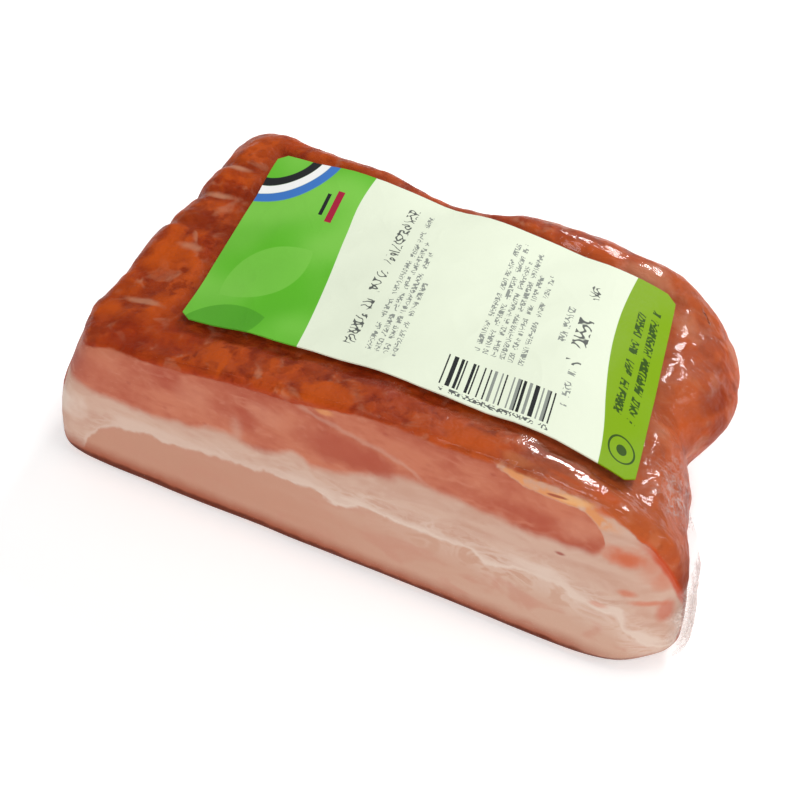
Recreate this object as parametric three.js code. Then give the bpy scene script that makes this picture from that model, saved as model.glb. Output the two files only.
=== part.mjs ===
// A piece of smoked pork belly, vacuum packed in clear film, with a paper label on top.
// Millimetres, +Z up. The long cut face looks towards -Y, the rind lies on the table.
import * as THREE from "three";
import { mergeVertices } from "three/addons/utils/BufferGeometryUtils.js";

// Driving dimensions of the block that the piece is shaped from.
const leftEnd = -81;
const rightEnd = 83.5;
const depth = 94;
const [front, back] = [-depth / 2, depth / 2];
const leftHeight = 39.2;
const middleHeight = 49.2;
const cornerRadius = { frontLeft: 7, frontRight: 23, backRight: 30, backLeft: 10 };

// How the top departs from a plane.
const topFall = { amount: 9, from: 32, to: 77, atFront: 0.68 };
const topTwist = { left: -3.3, right: 6.6 };
const backValley = { x: -11.3, width: 11.8, depth: 2.6 };
const rightRoll = { front: 22, back: 15 };

// How far the walls lean or stand in.
const cutFaceLean = { left: 5, right: 8 };
const leftEndLean = { back: 8, front: 6, frontCorner: 3 };
const leftEndHollow = { y: 15, width: 18, depth: 2.5 };
const backBend = { left: 4.4, middle: 11.3, right: 5.6 };
const rightEndSlant = 13.5;
const rightEndNotch = { y: -0.5, width: 7, depth: 7 };
const lobeTuck = 10;

// The smoked skin's low lumps: their height, and the lengths of the waves they are made of.
const lump = { height: 0.35, across: 30, along: 37, fine: 14 };

// Driving dimensions of the label, measured in plan. Its short sides lean, the right one more.
const labelLength = 109.4;
const labelWidth = 57.7;
const labelThickness = 0.4;
const labelCornerRadius = 2.5;
const labelGap = 0.45;
const labelReach = 2.5;
const labelLean = { left: 5, right: 13.1 };
const labelTurn = -0.14;
const labelCentre = new THREE.Vector2(-0.2, -0.6);

// The grids of the two meshes.
const pieceGrid = { columns: 36, rows: 22, layers: 12, arcLayers: 4 };
const labelGrid = { columns: 34, rows: 18 };

const smooth = THREE.MathUtils.smoothstep;
const mix = THREE.MathUtils.lerp;
const clamp = THREE.MathUtils.clamp;
const radians = THREE.MathUtils.degToRad;
const quarterTurn = Math.PI / 2;

// A soft bump of height 1 at centre, gone at about twice its width.
const bump = (value, centre, width) => Math.exp(-(((value - centre) / width) ** 2));

// The plan of the block, a rectangle with four different corners.
function blockOutline() {
  const r = cornerRadius;
  const outline = new THREE.Path();
  outline.moveTo(leftEnd + r.frontLeft, front);
  outline.lineTo(rightEnd - r.frontRight, front);
  outline.quadraticCurveTo(rightEnd, front, rightEnd, front + r.frontRight);
  outline.lineTo(rightEnd, back - r.backRight);
  outline.quadraticCurveTo(rightEnd, back, rightEnd - r.backRight, back);
  outline.lineTo(leftEnd + r.backLeft, back);
  outline.quadraticCurveTo(leftEnd, back, leftEnd, back - r.backLeft);
  outline.lineTo(leftEnd, front + r.frontLeft);
  outline.quadraticCurveTo(leftEnd, front, leftEnd + r.frontLeft, front);
  return outline;
}

// Height of the top above the table, before its edges are rounded off.
function topHeight(x, y) {
  const rise = mix(leftHeight, middleHeight, smooth(x, leftEnd, 8));
  const atFront = mix(topFall.atFront, 1, smooth(y, front, -14));
  const fall = topFall.amount * smooth(x, topFall.from, topFall.to) * atFront;
  const twist = mix(topTwist.left, topTwist.right, smooth(x, -60, 60)) * smooth(y, -20, back);
  const valley = backValley.depth * bump(x, backValley.x, backValley.width) * smooth(y, 16, back);
  return rise - fall - twist - valley;
}

// Rolls the square edge between the top and the right end into a quarter of a circle.
function rollRightEdge(point) {
  const radius = mix(rightRoll.front, rightRoll.back, smooth(point.y, -40, -10));
  const low = topHeight(rightEnd, point.y) - radius;
  const out = clamp((point.x - rightEnd + radius) / radius, 0, 1);
  const up = clamp((point.z - low) / radius, 0, 1);
  point.x -= radius * out * (1 - Math.sqrt(1 - up ** 2 / 2));
  point.z -= radius * up * (1 - Math.sqrt(1 - out ** 2 / 2));
}

// Moves the left end in as it rises, most at its back, in a hollow and at its front corner.
function leanLeftEnd(point, high) {
  const atEnd = smooth(-point.x, -leftEnd - 30, -leftEnd);
  const atCorner = smooth(-point.y, -front - 16, -front - 2) * smooth(high, 0.25, 0.8);
  const hollow = leftEndHollow.depth * bump(point.y, leftEndHollow.y, leftEndHollow.width);
  const lean = mix(leftEndLean.front, leftEndLean.back, smooth(point.y, 10, 40)) + hollow;
  return (lean * smooth(high, 0.3, 0.9) + leftEndLean.frontCorner * atCorner) * atEnd;
}

// Moves the right end in: it runs back at a slant, to a notch and a lobe that is tucked in below.
function moveRightEnd(point, high) {
  const atEnd = smooth(point.x, rightEnd - 45, rightEnd - 4);
  const slant = rightEndSlant * smooth(point.y, -43, -13);
  const notch = rightEndNotch.depth * bump(point.y, rightEndNotch.y, rightEndNotch.width);
  const tuck = lobeTuck * (1 - smooth(high, 0.15, 0.55)) * smooth(point.y, -8, 16);
  return -(slant + notch + tuck) * atEnd;
}

// Leans the cut face back as it rises.
function leanCutFace(point, high) {
  const atFace = smooth(-point.y, -front - 16, -front - 2);
  return mix(cutFaceLean.left, cutFaceLean.right, smooth(point.x, 20, 65)) * high ** 1.5 * atFace;
}

// Bends the back wall in, most at the middle.
function bendBack(point) {
  const atBack = smooth(point.y, 0, back - 6);
  const toMiddle = mix(backBend.left, backBend.middle, smooth(point.x, -90, -10));
  return -mix(toMiddle, backBend.right, smooth(point.x, -6, 30)) * atBack;
}

// Radii of the rounded top and bottom edges, larger at the ends and the back.
const edgeRadius = {
  top: (x, y) => 2.2 + 2 * smooth(Math.abs(x), 50, 80) + 5 * smooth(y, 0, back),
  bottom: (x, y) => {
    const along = 2 + smooth(x, -50, 10) + 4 * smooth(y, 10, back);
    return along + 2 * smooth(-x, 66, 82) + mix(6, 2, smooth(y, -20, 10)) * smooth(x, 55, 80);
  },
};

// Depth of the smoked skin's dents, from three crossing waves.
function skinDent(x, y, z) {
  const wave = (length, distance) => Math.sin((2 * Math.PI * distance) / length);
  const across = wave(lump.across, y + 4 * wave(125, x) + 0.6 * z);
  const along = wave(lump.along, x + 6 * wave(80, y + 13) + 0.6 * z);
  const fine = wave(lump.fine, 0.8 * x - 0.6 * y + 0.4 * z);
  return lump.height * (1 + 0.9 * across + 0.9 * along + 0.6 * fine);
}

// Evenly spaced points on each of the four sides of a closed outline, as a Coons patch.
function coonsPatch(path, columns, rows) {
  const perimeter = 2 * (columns + rows);
  const points = path.getSpacedPoints(perimeter);
  const at = (index) => {
    const wrapped = ((index % perimeter) + perimeter) % perimeter;
    const low = Math.floor(wrapped);
    return points[low].clone().lerp(points[(low + 1) % perimeter], wrapped - low);
  };
  const nearSide = (u) => at(u * columns);
  const rightSide = (v) => at(columns + v * rows);
  const farSide = (u) => at(columns + rows + (1 - u) * columns);
  const leftSide = (v) => at(2 * columns + rows + (1 - v) * rows);
  return (u, v) => {
    const along = nearSide(u).lerp(farSide(u), v);
    const across = leftSide(v).lerp(rightSide(v), u);
    const nearCorners = nearSide(0).lerp(nearSide(1), u);
    const farCorners = farSide(0).lerp(farSide(1), u);
    return along.add(across).sub(nearCorners.lerp(farCorners, v));
  };
}

// A box whose six faces are moved onto a shape by place(u, v, w), each from 0 to 1.
function shapedBox(columns, rows, layers, place) {
  const box = new THREE.BoxGeometry(1, 1, 1, columns, rows, layers);
  const position = box.getAttribute("position");
  for (let i = 0; i < position.count; i++) {
    const moved = place(position.getX(i) + 0.5, position.getY(i) + 0.5, position.getZ(i) + 0.5);
    position.setXYZ(i, moved.x, moved.y, moved.z);
  }
  box.deleteAttribute("normal");
  box.deleteAttribute("uv");
  const closed = mergeVertices(box, 1e-4);
  closed.computeVertexNormals();
  return closed;
}

const blockPlan = coonsPatch(blockOutline(), pieceGrid.columns, pieceGrid.rows);

// One point of the piece: w runs up the rounded bottom edge, the wall and the rounded top edge.
function placeOnPiece(u, v, w) {
  const flat = blockPlan(u, v);
  const ring = Math.max(Math.abs(2 * u - 1), Math.abs(2 * v - 1));
  const layer = w * pieceGrid.layers;
  const arc = pieceGrid.arcLayers;
  const wallLayers = pieceGrid.layers - 2 * arc;
  const bottomTurn = (Math.max(0, arc - layer) / arc) * quarterTurn;
  const topTurn = (Math.max(0, layer - arc - wallLayers) / arc) * quarterTurn;
  const rTop = edgeRadius.top(flat.x, flat.y);
  const rBottom = edgeRadius.bottom(flat.x, flat.y);
  const inset = rTop * (1 - Math.cos(topTurn)) + rBottom * (1 - Math.cos(bottomTurn));
  const spine = new THREE.Vector2(clamp(flat.x, leftEnd + back, rightEnd - back), 0);
  const inward = spine.sub(flat).normalize();
  flat.addScaledVector(inward, inset * ring ** 3);
  const wallHeight = mix(rBottom, topHeight(flat.x, flat.y) - rTop, clamp((layer - arc) / wallLayers, 0, 1));
  const height = wallHeight - rBottom * Math.sin(bottomTurn) + rTop * Math.sin(topTurn);
  const smoked = smooth(flat.y, front + 1, front + 12) * smooth(height, 0, 8);
  const dent = skinDent(flat.x, flat.y, height) * smoked;
  flat.addScaledVector(inward, dent * Math.cos(topTurn));
  const point = new THREE.Vector3(flat.x, flat.y, height - dent * Math.sin(topTurn));
  rollRightEdge(point);
  const high = point.z / middleHeight;
  const shiftX = leanLeftEnd(point, high) + moveRightEnd(point, high);
  const shiftY = leanCutFace(point, high) + bendBack(point);
  return point.add(new THREE.Vector3(shiftX, shiftY, 0));
}

// The outline of the flat label, a rectangle with rounded corners.
function labelOutline() {
  const [x1, y1] = [labelLength / 2, labelWidth / 2];
  const r = labelCornerRadius;
  const outline = new THREE.Path();
  outline.moveTo(-x1 + r, -y1);
  outline.lineTo(x1 - r, -y1);
  outline.absarc(x1 - r, -y1 + r, r, -quarterTurn, 0);
  outline.lineTo(x1, y1 - r);
  outline.absarc(x1 - r, y1 - r, r, 0, quarterTurn);
  outline.lineTo(-x1 + r, y1);
  outline.absarc(-x1 + r, y1 - r, r, quarterTurn, 2 * quarterTurn);
  outline.lineTo(-x1, -y1 + r);
  outline.absarc(-x1 + r, -y1 + r, r, 2 * quarterTurn, 3 * quarterTurn);
  return outline;
}

function namedMesh(name, geometry, color, roughness) {
  const material = new THREE.MeshStandardMaterial({ color, roughness, metalness: 0 });
  const mesh = new THREE.Mesh(geometry, material);
  mesh.name = name;
  return mesh;
}

const pieceShape = shapedBox(pieceGrid.columns, pieceGrid.rows, pieceGrid.layers, placeOnPiece);
const belly = namedMesh("vacuum_packed_belly", pieceShape, 0x9c3f22, 0.35);

// Height of the piece's skin under a point in plan.
const caster = new THREE.Raycaster();
function skinHeight(x, y) {
  caster.set(new THREE.Vector3(x, y, 2 * middleHeight), new THREE.Vector3(0, 0, -1));
  const hits = caster.intersectObject(belly);
  return hits.length ? hits[0].point.z : 0;
}

// Height of the label's underside, which spans the dips and clears the lumps within its reach.
function labelHeight(x, y) {
  const nearby = [[0, 0], [labelReach, 0], [-labelReach, 0], [0, labelReach], [0, -labelReach]];
  return labelGap + Math.max(...nearby.map(([dx, dy]) => skinHeight(x + dx, y + dy)));
}

const labelPlan = coonsPatch(labelOutline(), labelGrid.columns, labelGrid.rows);

// One point of the label: u runs along the piece, v across it and w through the paper.
function placeOnLabel(u, v, w) {
  const flat = labelPlan(u, v);
  const lean = mix(labelLean.left, labelLean.right, flat.x / labelLength + 0.5);
  flat.x -= flat.y * Math.tan(radians(lean));
  flat.rotateAround(new THREE.Vector2(0, 0), radians(labelTurn));
  flat.add(labelCentre);
  return new THREE.Vector3(flat.x, flat.y, labelHeight(flat.x, flat.y) + w * labelThickness);
}

const labelShape = shapedBox(labelGrid.columns, labelGrid.rows, 1, placeOnLabel);
const label = namedMesh("label", labelShape, 0xe9f2d9, 0.55);

const part = new THREE.Group();
part.add(belly, label);

// The origin goes to the bottom centre of the bounding box.
const box = new THREE.Box3().setFromObject(part);
const centre = box.getCenter(new THREE.Vector3());
part.position.set(-centre.x, -centre.y, -box.min.z);

export default part;
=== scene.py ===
import math

import bpy
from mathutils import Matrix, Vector


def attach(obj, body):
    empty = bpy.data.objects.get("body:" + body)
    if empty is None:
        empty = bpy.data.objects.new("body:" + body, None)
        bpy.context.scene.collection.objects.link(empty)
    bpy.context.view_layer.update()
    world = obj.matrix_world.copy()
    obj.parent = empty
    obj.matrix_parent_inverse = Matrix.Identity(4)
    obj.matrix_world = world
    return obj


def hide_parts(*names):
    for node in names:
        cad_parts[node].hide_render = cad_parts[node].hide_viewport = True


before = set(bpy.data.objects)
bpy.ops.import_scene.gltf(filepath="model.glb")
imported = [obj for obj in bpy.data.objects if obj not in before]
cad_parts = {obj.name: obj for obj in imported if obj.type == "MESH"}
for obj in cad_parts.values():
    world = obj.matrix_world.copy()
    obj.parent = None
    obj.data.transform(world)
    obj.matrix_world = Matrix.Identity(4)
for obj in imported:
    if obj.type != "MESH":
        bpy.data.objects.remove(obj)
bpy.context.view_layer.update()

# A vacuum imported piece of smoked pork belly: the meat, the clear film drawn tight over it, and a
# paper label. Metres in the scene, millimetres in the settings, as the shaders read them.
scene = bpy.context.scene
millimetre = 0.001
print("frame loaded:", ", ".join(sorted(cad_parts)))


def screenColour(red, green, blue):
    # A colour as it reads on screen, 0 to 255, made linear for the shaders.
    levels = [level / 255 for level in (red, green, blue)]
    return (*[v / 12.92 if v <= 0.04045 else ((v + 0.055) / 1.055) ** 2.4 for v in levels], 1.0)


def colourTable(**levels):
    return {name: screenColour(*parts) for name, parts in levels.items()}


def smoothStep(value, low, high):
    share = min(max((value - low) / (high - low), 0.0), 1.0)
    return share * share * (3 - 2 * share)


def hump(value, centre, width):
    return math.exp(-(((value - centre) / width) ** 2))


def pickOnly(piece):
    bpy.ops.object.select_all(action="DESELECT")
    piece.select_set(True)
    bpy.context.view_layer.objects.active = piece


# Camera, worked out from the photo.
cameraSettings = {
    "azimuth": 26.9,
    "elevation": 48.0,
    "distance": 523.8,
    "target": (-4.34, -6.52, 17.3),
    "lens": 99.0,
    "sensor": 36.0,
}


def makeCamera(settings):
    turn = math.radians(settings["azimuth"])
    rise = math.radians(settings["elevation"])
    back = Vector((math.sin(turn) * math.cos(rise), -math.cos(turn) * math.cos(rise), math.sin(rise)))
    bpy.ops.object.camera_add()
    camera = bpy.context.object
    camera.name = "photoCamera"
    camera.location = (Vector(settings["target"]) + back * settings["distance"]) * millimetre
    camera.rotation_euler = (-back).to_track_quat("-Z", "Y").to_euler()
    camera.data.lens = settings["lens"]
    camera.data.sensor_width = settings["sensor"]
    camera.data.clip_start = 0.01
    camera.data.clip_end = 20
    scene.camera = camera


makeCamera(cameraSettings)
print("camera placed")


# Node wiring. A step is one call, and what it returns goes into the next step.
class Wiring:
    def __init__(self, tree):
        self.tree = tree

    def join(self, socket, value):
        if isinstance(value, bpy.types.NodeSocket):
            self.tree.links.new(value, socket)
        else:
            socket.default_value = value

    def put(self, kind, inputs=None, **settings):
        node = self.tree.nodes.new(kind)
        for name, value in settings.items():
            setattr(node, name, value)
        for name, value in (inputs or {}).items():
            self.join(node.inputs[name], value)
        return node

    def calc(self, operation, *values, clamp=False):
        node = self.put("ShaderNodeMath", operation=operation, use_clamp=clamp)
        for index, value in enumerate(values):
            self.join(node.inputs[index], value)
        return node.outputs[0]

    def times(self, result, *factors, clamp=False):
        for factor in factors:
            result = self.calc("MULTIPLY", result, factor, clamp=clamp)
        return result

    def timesPlus(self, *values, clamp=False):
        return self.calc("MULTIPLY_ADD", *values, clamp=clamp)

    def minus(self, value, taken):
        return self.calc("SUBTRACT", value, taken)

    def vector(self, operation, *values, output=0):
        node = self.put("ShaderNodeVectorMath", operation=operation)
        for index, value in enumerate(values):
            self.join(node.inputs[index], value)
        return node.outputs[output]

    def scaled(self, point, factor):
        inputs = {"Vector": point, "Scale": factor}
        return self.put("ShaderNodeVectorMath", inputs, operation="SCALE").outputs[0]

    def rise(self, value, low, high, start=0.0, end=1.0):
        inputs = {"Value": value, "From Min": low, "From Max": high, "To Min": start, "To Max": end}
        return self.put("ShaderNodeMapRange", inputs, interpolation_type="SMOOTHSTEP").outputs[0]

    def blend(self, share, first, second):
        node = self.put("ShaderNodeMix", {0: share, 6: first, 7: second}, data_type="RGBA")
        return node.outputs[2]

    def clouds(self, point, size, detail=2.0, roughness=0.5, warp=0.0):
        inputs = {"Vector": point, "Scale": 1 / size, "Detail": detail}
        inputs.update({"Roughness": roughness, "Distortion": warp})
        return self.put("ShaderNodeTexNoise", inputs).outputs["Fac"]

    def speckle(self, point, amount):
        noise = self.clouds(point, 4, detail=3)
        return self.timesPlus(noise, amount, -0.5 * amount)

    def parts(self, vector):
        return self.put("ShaderNodeSeparateXYZ", {0: vector}).outputs

    def stored(self, name, output):
        return self.put("ShaderNodeAttribute", attribute_name=name).outputs[output]

    def bump(self, height, strength, reach=1.0):
        inputs = {"Height": height, "Strength": strength, "Distance": reach * millimetre}
        return self.put("ShaderNodeBump", inputs).outputs[0]

    def stretched(self, point, x, y, z):
        return self.vector("MULTIPLY", point, (x, y, z))

    def group(self, group, **inputs):
        node = self.put("ShaderNodeGroup", node_tree=group)
        for name, value in inputs.items():
            self.join(node.inputs[name], value)
        return node.outputs


def newGroup(name, inputs, outputs):
    group = bpy.data.node_groups.new(name, "ShaderNodeTree")
    for label, value in inputs.items():
        kind = "NodeSocketVector" if isinstance(value, tuple) else "NodeSocketFloat"
        group.interface.new_socket(label, in_out="INPUT", socket_type=kind).default_value = value
    for label in outputs:
        group.interface.new_socket(label, in_out="OUTPUT", socket_type="NodeSocketFloat")
    net = Wiring(group)
    return group, net, net.put("NodeGroupInput").outputs, net.put("NodeGroupOutput").inputs


def newMaterial(name):
    material = bpy.data.materials.new(name)
    material.use_nodes = True
    material.node_tree.nodes.clear()
    net = Wiring(material.node_tree)
    return material, net, net.put("ShaderNodeOutputMaterial").inputs["Surface"]


def objectPoint(net):
    # The place on the object, in millimetres.
    place = net.put("ShaderNodeTexCoord").outputs["Object"]
    return net.scaled(place, 1 / millimetre)


def makePatchGroup():
    # A soft oval patch: 0 outside, and inside as much as is given. A speckle around 0 makes its edge
    # ragged. Only its last steps depend on the point, so that many patches render fast.
    inputs = {"point": (0, 0, 0), "centre": (0, 0, 0), "half": (1, 1, 1)}
    inputs.update({"softness": 0.5, "speckle": 0.0, "most": 1.0})
    group, net, given, result = newGroup("softPatch", inputs, ["mask"])
    factor = net.vector("DIVIDE", (1, 1, 1), given["half"])
    shift = net.scaled(net.vector("MULTIPLY", given["centre"], factor), -1.0)
    inner = net.minus(1.0, given["softness"])
    offset = net.vector("MULTIPLY_ADD", given["point"], factor, shift)
    edge = net.calc("ADD", given["speckle"], net.vector("LENGTH", offset, output=1))
    net.join(result["mask"], net.rise(edge, 1.0, inner, 0.0, given["most"]))
    return group


def makeGrainGroup():
    # Fine uneven relief, from 0 to 1, of the size given.
    inputs = {"point": (0, 0, 0), "scale": 1.0, "streak": (1, 1, 1)}
    group, net, given, result = newGroup("fineGrain", inputs, ["height"])
    point = net.vector("MULTIPLY", given["point"], given["streak"])
    broad = net.put("ShaderNodeTexNoise", {"Vector": point, "Scale": given["scale"], "Detail": 4.0})
    finer = net.times(given["scale"], 2.6)
    narrow = net.put("ShaderNodeTexNoise", {"Vector": point, "Scale": finer, "Detail": 2.0})
    height = net.timesPlus(narrow.outputs["Fac"], 0.3, broad.outputs["Fac"])
    net.join(result["height"], height)
    return group


def makeCreaseGroup():
    # Sharp creases, as in crumpled film or paper: a height, and the lines along their crests.
    inputs = {"point": (0, 0, 0), "scale": 0.2, "sharpness": 6.0}
    group, net, given, result = newGroup("crumple", inputs, ["height", "lines"])
    crests = []
    for factor, warp in ((1.0, 1.2), (2.3, 0.8)):
        scale = net.times(given["scale"], factor)
        inputs = {"Vector": given["point"], "Scale": scale, "Detail": 1.0, "Distortion": warp}
        level = net.put("ShaderNodeTexNoise", inputs).outputs["Fac"]
        off = net.calc("ABSOLUTE", net.timesPlus(level, 2.0, -1.0))
        crest = net.minus(1.0, net.times(off, 2.2, clamp=True))
        crests.append(crest)
    height = net.timesPlus(crests[1], 0.45, crests[0])
    net.join(result["height"], height)
    peak = net.calc("MAXIMUM", crests[0], crests[1])
    net.join(result["lines"], net.calc("POWER", peak, given["sharpness"]))
    return group


def makeFlakeGroup():
    # Uneven flakes side by side, with a tone for each one.
    inputs = {"point": (0, 0, 0), "scale": 0.15, "warp": 5.0}
    group, net, given, result = newGroup("flakes", inputs, ["tone"])
    driftScale = net.times(given["scale"], 1.2)
    drift = net.put("ShaderNodeTexNoise", {"Vector": given["point"], "Scale": driftScale, "Detail": 3.0})
    drift = net.vector("SUBTRACT", drift.outputs["Color"], (0.5, 0.5, 0.5))
    moved = net.vector("ADD", given["point"], net.scaled(drift, given["warp"]))
    inputs = {"Vector": moved, "Scale": given["scale"], "Smoothness": 0.5}
    cells = net.put("ShaderNodeTexVoronoi", inputs, feature="SMOOTH_F1")
    tone = net.put("ShaderNodeSeparateColor", {0: cells.outputs["Color"]}).outputs[0]
    net.join(result["tone"], tone)
    return group


softPatch = makePatchGroup()
fineGrain = makeGrainGroup()
crumple = makeCreaseGroup()
flakes = makeFlakeGroup()
print("shared node groups ready")


# Shapes. Every piece starts as a merged copy of the solid that it stands for.
def copySolid(nodeName, pieceName):
    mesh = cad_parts[nodeName].data.copy()
    mesh.name = pieceName
    mesh.materials.clear()
    piece = bpy.data.objects.new(pieceName, mesh)
    scene.collection.objects.link(piece)
    pickOnly(piece)
    bpy.ops.mesh.customdata_custom_splitnormals_clear()
    bpy.ops.object.mode_set(mode="EDIT")
    bpy.ops.mesh.select_all(action="SELECT")
    bpy.ops.mesh.remove_doubles(threshold=0.00001)
    limits = {"face_threshold": math.radians(60), "shape_threshold": math.radians(75)}
    bpy.ops.mesh.tris_convert_to_quads(**limits)
    bpy.ops.object.mode_set(mode="OBJECT")
    bpy.ops.object.shade_smooth()
    return piece


def applyModifier(piece, kind, **settings):
    modifier = piece.modifiers.new(kind.title(), kind)
    for name, value in settings.items():
        setattr(modifier, name, value)
    pickOnly(piece)
    bpy.ops.object.modifier_apply(modifier=modifier.name)


def subdivide(piece, levels):
    applyModifier(piece, "SUBSURF", levels=levels, render_levels=levels)


def paintWeights(piece, name, weightAt):
    # A vertex group whose weight is worked out from each point's place, in mm, and its normal.
    group = piece.vertex_groups.new(name=name)
    for vertex in piece.data.vertices:
        weight = weightAt(vertex.co / millimetre, vertex.normal)
        if weight > 0.001:
            group.add([vertex.index], min(weight, 1.0), "REPLACE")


def reliefTexture(name, kind, size, **settings):
    texture = bpy.data.textures.new(name, kind)
    texture.noise_scale = size * millimetre
    for key, value in settings.items():
        setattr(texture, key, value)
    return texture


def pushSurface(piece, depth, weights, texture=None, middle=0.0):
    # Moves the surface along its normals by so many mm, where the weights and the texture say.
    applyModifier(
        piece,
        "DISPLACE",
        strength=depth * millimetre,
        mid_level=middle,
        vertex_group=weights,
        texture=texture,
        texture_coords="LOCAL",
    )


def keepAbove(piece, lowest):
    # Nothing reaches lower than so many mm over the table.
    for vertex in piece.data.vertices:
        vertex.co.z = max(vertex.co.z, lowest * millimetre)


def keepFacing(piece):
    facing = piece.data.attributes.new("facing", "FLOAT_VECTOR", "POINT")
    for vertex, value in zip(piece.data.vertices, facing.data):
        value.vector = vertex.normal


def smoothShape(piece):
    # Where each point is, and which way it faces, before any relief is added.
    return [(vertex.co.copy(), vertex.normal.copy()) for vertex in piece.data.vertices]


def keepRelief(piece, before):
    # How far each point has been pushed out, in mm.
    relief = piece.data.attributes.new("relief", "FLOAT", "POINT")
    for vertex, (place, normal), value in zip(piece.data.vertices, before, relief.data):
        value.value = (vertex.co - place).dot(normal) / millimetre


# How the label lies, which the meat needs too, as it stays clear of it.
labelSettings = {
    "length": 109.4,
    "width": 57.7,
    "centre": (0.97, 2.02),
    "turn": -0.14,
    "leanLeft": 5.0,
    "leanRight": 13.1,
    "levels": 1,
    "bump": 0.25,
    "specular": 0.2,
}


def flatPlace(x, y, settings):
    # Where a point of the draped label lies on the flat one, in mm from its middle.
    turn = math.radians(-settings["turn"])
    dx = x - settings["centre"][0]
    dy = y - settings["centre"][1]
    across = dx * math.sin(turn) + dy * math.cos(turn)
    leaning = dx * math.cos(turn) - dy * math.sin(turn)
    along = leaning
    for _ in range(4):
        share = along / settings["length"] + 0.5
        lean = settings["leanLeft"] + (settings["leanRight"] - settings["leanLeft"]) * share
        along = leaning + across * math.tan(math.radians(lean))
    return along, across


# The meat. The film lies over it with a small gap, in mm.
filmGap = 0.1
meatSettings = {
    "levels": 2,
    "crustLumps": {"size": 9.0, "depth": 1.0, "detail": 2},
    "crustPits": {"size": 3.0, "depth": 0.45, "detail": 2},
    "cutWaves": {"size": 16.0, "depth": 0.45, "detail": 1},
    "openLift": 0.7,
    "backRim": {"x": 15, "width": 15, "lift": 0.9},
    "ribs": [  # the pinched lines at the left end
        {"y": 3.8, "width": 1.6, "depth": 0.9, "from": -50},
        {"y": 15.4, "width": 1.8, "depth": 1.2, "from": -50},
        {"y": 25.8, "width": 1.6, "depth": 1.0, "from": -50},
        {"y": -24.0, "width": 2.0, "depth": 0.3, "from": -50},
    ],
    "slackDepth": 0.6,
    "bump": 0.6,
    "specular": 0.1,
}


def crustWeight(place, normal):
    return smoothStep(normal.y, -0.75, -0.45) * smoothStep(normal.z, -0.75, -0.3)


def openWeight(place, normal):
    # All the crust that the label doesn't cover.
    along, across = flatPlace(place.x, place.y, labelSettings)
    beyond = max(abs(along) - labelSettings["length"] / 2, abs(across) - labelSettings["width"] / 2)
    if normal.z < 0:
        beyond = 9
    return crustWeight(place, normal) * smoothStep(beyond, 1.0, 5.0)


def cutWeight(place, normal):
    return smoothStep(-normal.y, 0.6, 0.85)


def slackWeight(place, normal):
    # The low right end, where the film stands off the meat.
    return smoothStep(place.x, 68, 76) * smoothStep(place.z, 38, 28) * smoothStep(place.y, -12, -22)


def ribWeight(place, normal):
    depths = [
        rib["depth"] * hump(place.y, rib["y"], rib["width"]) * smoothStep(place.x, rib["from"], -68)
        for rib in meatSettings["ribs"]
    ]
    return max(depths) * smoothStep(place.z, 22, 36)


def backRimWeight(place, normal):
    # The crust swells a little along its back rim, behind the label's middle.
    swell = hump(place.x, meatSettings["backRim"]["x"], meatSettings["backRim"]["width"])
    return swell * openWeight(place, normal) * smoothStep(place.y, 26, 34) * smoothStep(place.z, 24, 40)


def raiseRelief(piece, settings, crustAt, pitShare, slackLift):
    # The relief that the meat and the film share.
    weights = {"crust": crustAt, "open": openWeight, "cut": cutWeight, "slack": slackWeight}
    weights.update({"ribs": ribWeight, "backRim": backRimWeight})
    for name, weightAt in weights.items():
        paintWeights(piece, name, weightAt)
    for name, part, share, middle in (
        ("crustLumps", "crust", 1.0, 1.0),
        ("crustPits", "crust", pitShare, 1.0),
        ("cutWaves", "cut", 1.0, 0.5),
    ):
        pushSurface(piece, settings[name]["depth"] * share, part, bpy.data.textures[name], middle=middle)
    pushSurface(piece, settings["openLift"], "open")
    pushSurface(piece, settings["backRim"]["lift"], "backRim")
    pushSurface(piece, -1.0, "ribs")
    pushSurface(piece, slackLift, "slack")


def makeMeat(settings):
    piece = copySolid("vacuum_packed_belly", "smokedMeat")
    subdivide(piece, settings["levels"])
    keepFacing(piece)
    before = smoothShape(piece)
    for name in ("crustLumps", "crustPits", "cutWaves"):
        reliefTexture(name, "CLOUDS", settings[name]["size"], noise_depth=settings[name]["detail"])
    raiseRelief(piece, settings, crustWeight, 1.0, -settings["slackDepth"])
    keepAbove(piece, filmGap)
    keepRelief(piece, before)
    return piece


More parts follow.
